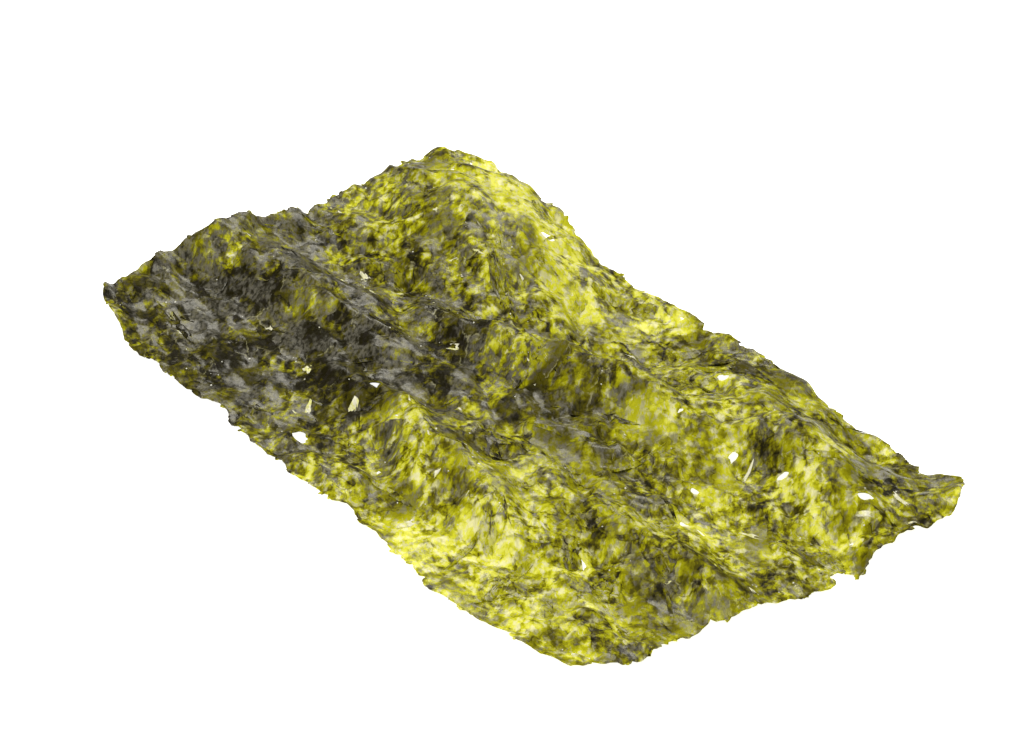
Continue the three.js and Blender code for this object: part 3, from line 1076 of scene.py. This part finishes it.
# %% Flakes as discs of rings, all at once
FLAKE_THICKNESS = 0.04
TORN = dict(wide=0.5, lumps=1.7, apart=9, seed=31, small=0.3, small_lumps=3, small_seed=33)
CURL = dict(power=1.6, most=1.2, sides=0.15, drawn_in=0.25)
OWN_PATTERN = dict(off_film=50, stretch=1.3, apart=7)


def disc_triangles(rings, spokes):
    """A fan round point 0, then two triangles to each square between rings, for points numbered by ring."""
    spoke = np.arange(spokes)
    after = (spoke + 1) % spokes
    parts = [np.stack([spoke * 0, 1 + spoke, 1 + after], axis=1)]
    for ring in range(rings - 1):
        inner, outer = 1 + ring * spokes, 1 + (ring + 1) * spokes
        parts.append(np.stack([inner + spoke, outer + spoke, outer + after], axis=1))
        parts.append(np.stack([inner + spoke, outer + after, inner + after], axis=1))
    return np.concatenate(parts)


def repeated(faces, count, copies):
    """The same faces for each copy, with the point numbers moved on by count each time."""
    return (faces[None] + count * np.arange(copies)[:, None, None]).reshape(-1, 3)


def torn_ovals(cx, cy, rings, spokes):
    """Places along and across each flake, middle first, then ring by ring: a ring's share of the size times
    one plus noise round it, with a finer noise that grows towards the rim."""
    angle = np.tile(TURN * np.arange(spokes) / spokes, rings)[None]
    ring = np.repeat((1 + np.arange(rings)) / rings, spokes)[None]
    round_x = TORN["lumps"] * np.cos(angle) + TORN["apart"] * cx[:, None]
    round_y = TORN["lumps"] * np.sin(angle) + TORN["apart"] * cy[:, None]
    torn = 1 + TORN["wide"] * noise(round_x, round_y, TORN["seed"])
    small = noise(angle * TORN["small_lumps"], cx[:, None] + angle, TORN["small_seed"])
    torn = torn + TORN["small"] * ring * small
    middle = np.zeros((cx.size, 1))
    along = np.concatenate([middle, ring * torn * np.cos(angle)], axis=1)
    across = np.concatenate([middle, ring * torn * np.sin(angle)], axis=1)
    return along, across


def build_flakes(kind):
    """Each flake is a torn oval on the film. Its height over the film grows with the 1.6th power of the way
    from its held end, its sides bend up a little, and its lifted end is drawn in. The finish reads each
    flake at a flat place of its own, off the film's."""
    rng, cx, cy, turn, long = flake_places(kind)
    slim, lift = (rng.uniform(*kind[key], cx.size)[:, None] for key in ("slim", "lift"))
    along, across = torn_ovals(cx, cy, kind["rings"], kind["spokes"])
    x = cx[:, None] + long * (along * np.cos(turn) - slim * across * np.sin(turn))
    y = cy[:, None] + long * (along * np.sin(turn) + slim * across * np.cos(turn))
    ground, thickness = film(x, y)
    free = np.clip((along + 1) / 2, 0, CURL["most"]) ** CURL["power"]
    lift = lift * room(ground)
    z = ground + FLAKE_THICKNESS / 2 + lift * free + CURL["sides"] * lift * across**2
    z = np.maximum(z, FLAKE_THICKNESS)
    x = x - CURL["drawn_in"] * lift * free**2 * np.cos(turn)
    y = y - CURL["drawn_in"] * lift * free**2 * np.sin(turn)
    points = np.stack([x, y, z], axis=-1).reshape(-1, 3)
    triangles = disc_triangles(kind["rings"], kind["spokes"])
    faces = repeated(triangles, 1 + kind["rings"] * kind["spokes"], cx.size)
    half = np.array([0, 0, FLAKE_THICKNESS / 2])
    skin, skin_faces = closed_skin(points + half, points - half, faces)
    flat_y = y * OWN_PATTERN["stretch"] + cx[:, None] * OWN_PATTERN["apart"]
    flat = np.stack([x + OWN_PATTERN["off_film"], flat_y, 0 * x], axis=-1).reshape(-1, 3)
    layers = kind.get("felt", 1) * thickness + rng.uniform(*kind["shift"], (cx.size, 1))
    return skin, skin_faces, np.concatenate([flat] * 2), np.concatenate([layers.reshape(-1)] * 2)


for kind in FLAKE_KINDS:
    points, faces, flat, layers = build_flakes(kind)
    make_piece(kind["name"], points + FILM_SHIFT, faces, LAVER, flat, layers)

# %% [markdown]
# ## Salt
# Fine salt was shaken over the oiled sheet before the last roast. It is in grains about a tenth of a
# millimetre across, clear with a white edge, lying anyhow. Rolling them about in a simulation would take
# long and show nothing more, so each grain is a cube of twelve triangles, squeezed and turned by its own
# random numbers.

# %% The salt's finish
SALT_COLOURS = dict(dull=(0.62, 0.61, 0.52), bright=(0.88, 0.88, 0.85))
SALT_CLOUDS_PER_METRE = 9000.0


def salt_finish():
    """Small clouds between a dull and a bright white, rougher where they are bright."""
    finish = Finish("salt")
    place = finish.node("TexCoord", {}).other("Object")
    cloud = finish.node("TexNoise", {}, place, Scale=SALT_CLOUDS_PER_METRE, Detail=2.0)
    colour = finish.blend(cloud, SALT_COLOURS["dull"], SALT_COLOURS["bright"])
    shader = finish.node("BsdfPrincipled", {}, Base_Color=colour, Roughness=0.12 + 0.2 * cloud, IOR=1.54)
    return finish.surface(shader)


# %% Grains as squeezed and turned cubes
SALT = dict(
    count=130, seed=61, inside=0.3, half_size=(0.03, 0.07), squeeze=(0.6, 1.5), tip=(-0.6, 0.6), sunk=0.8,
)
CUBE_FACES = np.array([
    [0, 2, 3], [0, 3, 1], [4, 5, 7], [4, 7, 6], [0, 1, 5], [0, 5, 4],
    [2, 6, 7], [2, 7, 3], [0, 4, 6], [0, 6, 2], [1, 3, 7], [1, 7, 5],
])


def build_salt():
    """Cube corners times a size of its own along each axis, turned by two angles, and set on the film."""
    rng, x, y = random_places(SALT["count"], SALT["seed"])
    keep = on_film(x, y) > SALT["inside"]
    x, y = x[keep], y[keep]
    corners = np.array([[i, j, k] for k in (-1, 1) for j in (-1, 1) for i in (-1, 1)], dtype=float)
    size = rng.uniform(*SALT["half_size"], (x.size, 1, 1)) * rng.uniform(*SALT["squeeze"], (x.size, 1, 3))
    spin, tip = rng.uniform(0, TURN, (x.size, 1)), rng.uniform(*SALT["tip"], (x.size, 1))
    gx, gy, gz = np.moveaxis(corners[None] * size, -1, 0)
    gx, gy = gx * np.cos(spin) - gy * np.sin(spin), gx * np.sin(spin) + gy * np.cos(spin)
    gy, gz = gy * np.cos(tip) - gz * np.sin(tip), gy * np.sin(tip) + gz * np.cos(tip)
    ground = film(x, y)[0] + HALF_THICKNESS["least"] + size[:, 0, 2] * SALT["sunk"]
    points = np.stack([gx + x[:, None], gy + y[:, None], gz + ground[:, None]], axis=-1).reshape(-1, 3)
    return points, repeated(CUBE_FACES, len(corners), x.size)


points, faces = build_salt()
make_piece("salt_grains", points + FILM_SHIFT, faces, salt_finish())

# %% [markdown]
# ## Table, light and camera
# A pale floor with light of its own gives the white ground that laver is shown on, and it lights the film
# from below. A broad lamp behind the sheet glints off the oil, and a soft one overhead fills. Several hard
# lamps would show the relief more, but they would also hide how light comes through the film.

# %% Floor
AIM = (Vector(CAD_BOX[0]) + Vector(CAD_BOX[1])) / 2
SPAN = (Vector(CAD_BOX[1]) - Vector(CAD_BOX[0])).length
FLOOR = dict(reach=40 * SPAN, colour=(0.9, 0.9, 0.9), roughness=0.9, glow=0.95)


def pale_floor():
    """One square far wider than the view, evenly pale, that shines by itself."""
    finish = Finish("pale_floor")
    shader = finish.node(
        "BsdfPrincipled", {}, Base_Color=(*FLOOR["colour"], 1), Roughness=FLOOR["roughness"],
        Emission_Color=(1, 1, 1, 1), Emission_Strength=FLOOR["glow"],
    )
    mesh = bpy.data.meshes.new("floor")
    reach = FLOOR["reach"]
    corners = [(-reach, -reach, 0), (reach, -reach, 0), (reach, reach, 0), (-reach, reach, 0)]
    mesh.from_pydata(corners, [], [(0, 1, 2, 3)])
    mesh.materials.append(finish.surface(shader))
    floor = bpy.data.objects.new("floor", mesh)
    bpy.context.scene.collection.objects.link(floor)
    floor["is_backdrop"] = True


pale_floor()
print("floor, in m from its middle to its edge:", round(FLOOR["reach"], 2))

# %% Lamps: azimuth and elevation as seen from the middle of the sheet
VIEW = dict(azimuth=55, elevation=30)
LAMP_COLOUR = (1.0, 0.975, 0.87)
LAMP_DISTANCE = 0.45
LAMPS = [
    dict(name="back_lamp", past_view=172, elevation=42, size=(0.34, 0.20), watts=1.6),
    dict(name="top_lamp", past_view=-30, elevation=56, size=(0.36, 0.30), watts=2.4),
]
ROOM_LIGHT = 0.12


def toward(azimuth, elevation):
    """Unit direction from the sheet to a viewer at that azimuth and elevation."""
    a, e = math.radians(azimuth), math.radians(elevation)
    return Vector((math.sin(a) * math.cos(e), -math.cos(a) * math.cos(e), math.sin(e)))


def soft_lamp(lamp):
    """A warm rectangle of light at the lamps' distance, facing the middle of the sheet."""
    light = bpy.data.lights.new(lamp["name"], "AREA")
    light.color = LAMP_COLOUR
    light.shape = "RECTANGLE"
    light.size, light.size_y = lamp["size"]
    light.energy = lamp["watts"]
    way = toward(VIEW["azimuth"] + lamp["past_view"], lamp["elevation"])
    placed = bpy.data.objects.new(lamp["name"], light)
    placed.location = AIM + way * LAMP_DISTANCE
    placed.rotation_euler = way.to_track_quat("Z", "Y").to_euler()
    bpy.context.scene.collection.objects.link(placed)


for lamp in LAMPS:
    soft_lamp(lamp)

world = bpy.data.worlds.new("soft_room")
world.use_nodes = True
world.node_tree.nodes["Background"].inputs["Color"].default_value = (1, 1, 1, 1)
world.node_tree.nodes["Background"].inputs["Strength"].default_value = ROOM_LIGHT
bpy.context.scene.world = world
bpy.context.scene.view_settings.view_transform = "Standard"
print("lamps:", [lamp["name"] for lamp in LAMPS])

# %% Camera, as far back as the film's box needs
LENS, SENSOR, FRAME_RATIO, MARGIN = 135, 36, 1024 / 750, 1.03
NEAREST_SEEN = 0.01


def place_camera():
    """The distance at which every corner of the box fits both ways, plus a margin."""
    back = toward(**VIEW)
    turn = back.to_track_quat("Z", "Y")
    right, up = turn @ Vector((1, 0, 0)), turn @ Vector((0, 1, 0))
    half_wide = SENSOR / 2 / LENS
    half_high = half_wide / FRAME_RATIO
    distance = 0
    low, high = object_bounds()
    for x in (low.x, high.x):
        for y in (low.y, high.y):
            for z in (low.z, high.z):
                corner = Vector((x, y, z)) - AIM
                need = max(abs(corner.dot(right)) / half_wide, abs(corner.dot(up)) / half_high)
                distance = max(distance, corner.dot(back) + need * MARGIN)
    camera = bpy.data.objects.new("camera", bpy.data.cameras.new("camera"))
    camera.data.lens, camera.data.sensor_width = LENS, SENSOR
    camera.data.clip_start = NEAREST_SEEN
    camera.location = AIM + back * distance
    camera.rotation_euler = turn.to_euler()
    bpy.context.scene.collection.objects.link(camera)
    bpy.context.scene.camera = camera
    print("camera distance, in m:", round(distance, 3))


place_camera()
